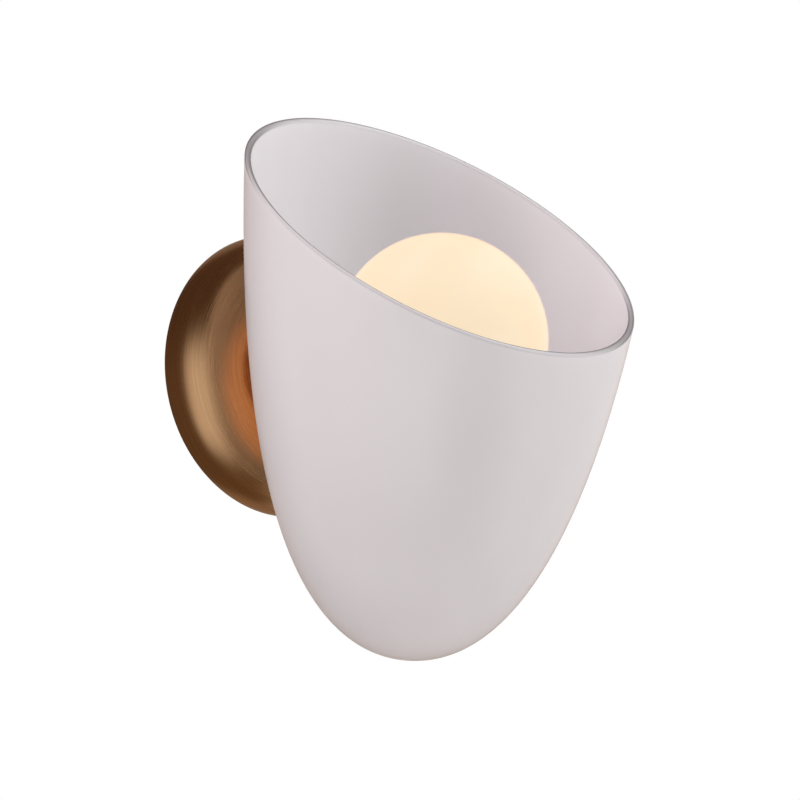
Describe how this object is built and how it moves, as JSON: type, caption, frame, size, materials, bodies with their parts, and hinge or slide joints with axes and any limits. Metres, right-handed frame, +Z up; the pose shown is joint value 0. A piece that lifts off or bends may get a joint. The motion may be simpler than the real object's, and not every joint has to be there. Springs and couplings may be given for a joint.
{
  "type": "shell wall sconce",
  "caption": "Wall sconce with a domed brass canopy and a slant-cut opal glass shade round a globe lamp on a level screw lampholder.",
  "frame": {"origin": "middle of the wall strap's back face, on the lampholder's axis, in the plane of the wall", "axes": "+Z up the wall, +Y into the wall, the light stands out towards -Y, +X to the right when facing the wall"},
  "size_m": [0.179, 0.1987, 0.2503],
  "materials": {
    "brushed_brass": "brushed in circles, antiqued and lacquered",
    "zinc_steel": "zinc plated",
    "green_steel": "green dyed zinc",
    "bare_brass": "stamped, bright",
    "green_insulation": "soft, satin",
    "black_insulation": "soft, satin",
    "white_insulation": "soft, satin",
    "nylon": "moulded, satin",
    "silicone": "moulded, translucent",
    "opal_glass": "cased opal glass, blown, fire-polished lip",
    "white_moulding": "moulded thermoset",
    "lamp_glass": "opal, matte, glowing",
    "nickel_cap": "nickel plated, rolled thread",
    "black_glass": "fused glass",
    "solder_tip": "soldered"
  },
  "bodies": {
    "fixture": {"canopy": "brushed_brass", "collar": "brushed_brass", "shade_ring": "brushed_brass", "canopy_grub_screws": "brushed_brass", "wall_strap": "zinc_steel", "threaded_nipple": "zinc_steel", "nipple_nut": "zinc_steel", "lock_washer": "zinc_steel", "block_screw": "zinc_steel", "clamp_screws": "zinc_steel", "bracket_screws": "zinc_steel", "lampholder_bracket": "zinc_steel", "earth_screw": "green_steel", "earth_cup_washer": "bare_brass", "earth_tag": "bare_brass", "terminal_barrels": "bare_brass", "terminal_screws": "bare_brass", "screw_shell": "bare_brass", "centre_contact": "bare_brass", "contact_rivet": "bare_brass", "shell_rivet": "bare_brass", "line_terminal": "bare_brass", "neutral_terminal": "bare_brass", "earth_lead": "green_insulation", "line_lead": "black_insulation", "neutral_lead": "white_insulation", "terminal_block": "nylon", "wire_bush": "nylon", "outer_gasket": "silicone", "inner_gasket": "silicone", "glass_shade": "opal_glass", "lampholder_body": "white_moulding"},
    "lamp_tip": {"lamp_contact": "solder_tip"},
    "lamp": {"lamp_globe": "lamp_glass", "lamp_cap": "nickel_cap", "lamp_insulator": "black_glass"}
  },
  "joints": [
    {"name": "lamp_travel", "type": "slide", "parent": "fixture", "child": "lamp_tip", "axis": [0, -1, 0], "range_m": [0, 0.0109]},
    {"name": "lamp_turn", "type": "hinge", "parent": "lamp_tip", "child": "lamp", "pos_m": [0, -0.1211, 0], "axis": [0, -1, 0], "range_deg": [0, 1080]}
  ],
  "couplings": [
    {"joint": "lamp_travel", "follows": "lamp_turn", "m_per_rad": 0.0005776}
  ]
}
